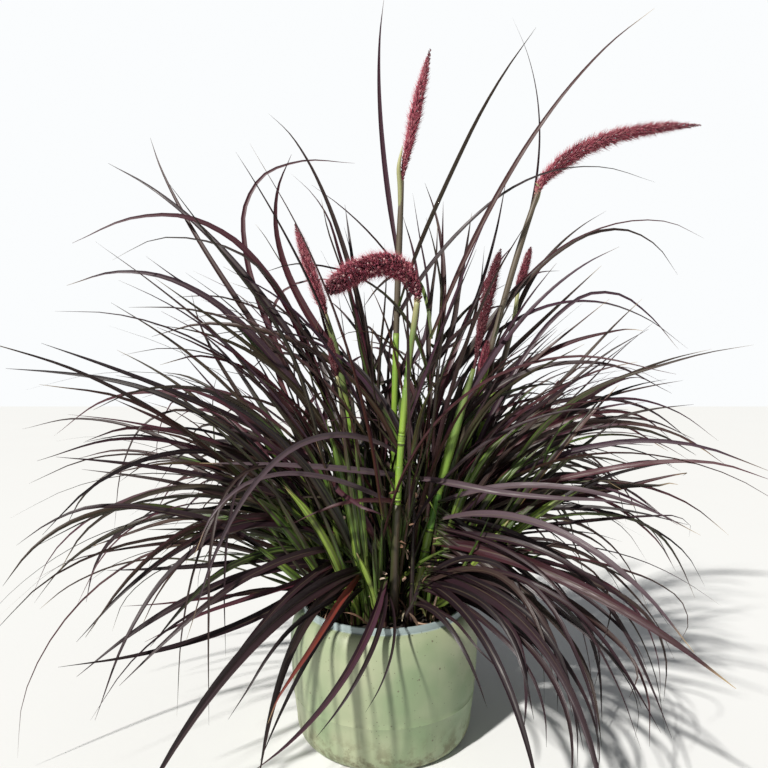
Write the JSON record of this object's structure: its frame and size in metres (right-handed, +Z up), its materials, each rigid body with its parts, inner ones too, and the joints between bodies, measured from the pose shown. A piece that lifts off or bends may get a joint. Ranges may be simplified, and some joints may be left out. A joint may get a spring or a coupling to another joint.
{
  "type": "potted fountain grass",
  "caption": "Clump of purple fountain grass with arching strap leaves and foxtail plumes, growing in a round pot with a rolled shoulder and a thin lip.",
  "frame": {"origin": "the middle of the pot's flat base, where it rests", "axes": "+Z up along the pot's axis, +X to the right seen from the front, -Y the front, where the low leaves hang over the rim"},
  "size_m": [1.0097, 0.8292, 1.025],
  "materials": {
    "pot_plastic": "satin moulded plastic with small dark specks",
    "soil_dark": "damp crumbly potting soil",
    "stem_green": "smooth living stem",
    "plume_rose": "soft bristly flower head",
    "leaf_burgundy": "satin leaf with fine parallel veins"
  },
  "bodies": {
    "root": {"pot": "pot_plastic", "potting_soil": "soil_dark", "flower_stem_1": "stem_green", "flower_stem_2": "stem_green", "flower_stem_3": "stem_green", "flower_stem_4": "stem_green", "flower_stem_5": "stem_green", "flower_stem_6": "stem_green", "flower_stem_7": "stem_green", "flower_stem_8": "stem_green", "flower_stem_9": "stem_green", "plume_1": "plume_rose", "plume_2": "plume_rose", "plume_3": "plume_rose", "plume_4": "plume_rose", "plume_5": "plume_rose", "plume_6": "plume_rose", "plume_7": "plume_rose", "plume_8": "plume_rose", "plume_9": "plume_rose", "shoot_01": "leaf_burgundy", "shoot_02": "leaf_burgundy", "shoot_03": "leaf_burgundy", "shoot_04": "leaf_burgundy", "shoot_05": "leaf_burgundy", "shoot_06": "leaf_burgundy", "shoot_07": "leaf_burgundy", "shoot_08": "leaf_burgundy", "shoot_09": "leaf_burgundy", "shoot_10": "leaf_burgundy", "shoot_11": "leaf_burgundy", "shoot_12": "leaf_burgundy", "shoot_13": "leaf_burgundy", "shoot_14": "leaf_burgundy", "shoot_15": "leaf_burgundy", "shoot_16": "leaf_burgundy", "shoot_17": "leaf_burgundy", "shoot_18": "leaf_burgundy", "shoot_19": "leaf_burgundy", "shoot_20": "leaf_burgundy", "shoot_21": "leaf_burgundy", "shoot_22": "leaf_burgundy", "shoot_23": "leaf_burgundy", "shoot_24": "leaf_burgundy", "shoot_25": "leaf_burgundy", "shoot_26": "leaf_burgundy", "shoot_27": "leaf_burgundy", "shoot_28": "leaf_burgundy", "shoot_29": "leaf_burgundy", "shoot_30": "leaf_burgundy", "shoot_31": "leaf_burgundy", "shoot_32": "leaf_burgundy", "shoot_33": "leaf_burgundy", "shoot_34": "leaf_burgundy", "shoot_35": "leaf_burgundy", "shoot_36": "leaf_burgundy"}
  },
  "joints": []
}
